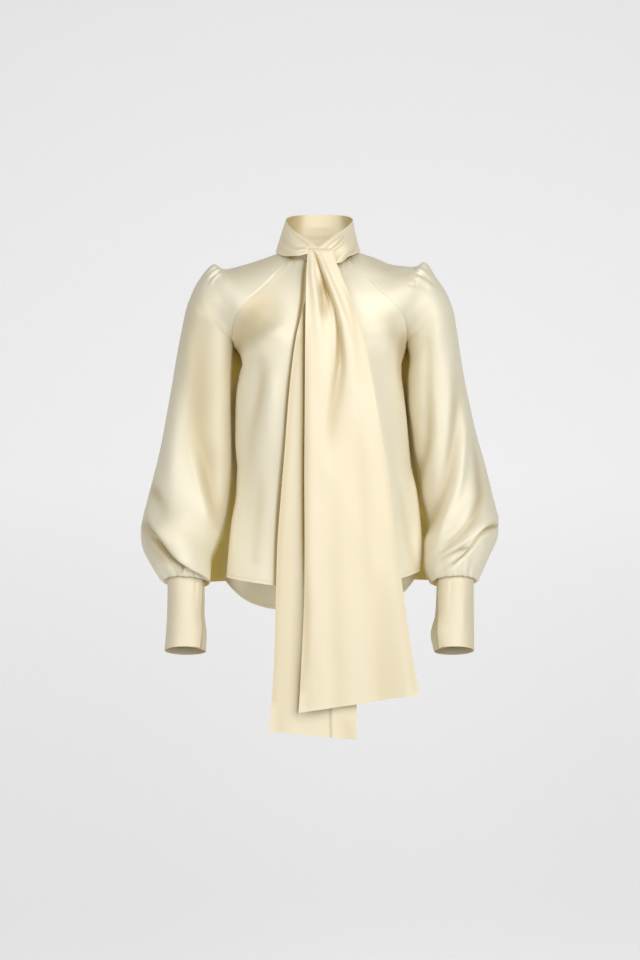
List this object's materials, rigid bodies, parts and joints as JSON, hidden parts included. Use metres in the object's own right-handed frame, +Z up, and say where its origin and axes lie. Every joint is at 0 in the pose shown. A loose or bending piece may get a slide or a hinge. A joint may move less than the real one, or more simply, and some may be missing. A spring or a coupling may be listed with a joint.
{
  "type": "blouse",
  "caption": "Long-sleeved satin blouse with raglan bishop sleeves, deep cuffs and a scarf neck tied at the front with two long hanging tails, in its worn hollow form.",
  "frame": {"origin": "middle of the neck opening at the height of the side neck seams, where the wearer's neck holds the blouse", "axes": "+Z up, the front faces -Y, +X is the wearer's left"},
  "size_m": [0.6405, 0.2913, 0.9351],
  "materials": {
    "front_silk": "satin",
    "back_silk": "satin",
    "sleeve_right_silk": "satin",
    "sleeve_left_silk": "satin",
    "cuff_right_silk": "satin",
    "cuff_left_silk": "satin",
    "scarf_neck_silk": "satin",
    "scarf_tail_front_silk": "satin",
    "scarf_tail_back_silk": "satin"
  },
  "bodies": {
    "root": {"front": "front_silk", "back": "back_silk", "sleeve_right": "sleeve_right_silk", "sleeve_left": "sleeve_left_silk", "cuff_right": "cuff_right_silk", "cuff_left": "cuff_left_silk", "scarf_neck": "scarf_neck_silk", "scarf_tail_front": "scarf_tail_front_silk", "scarf_tail_back": "scarf_tail_back_silk"}
  },
  "joints": []
}
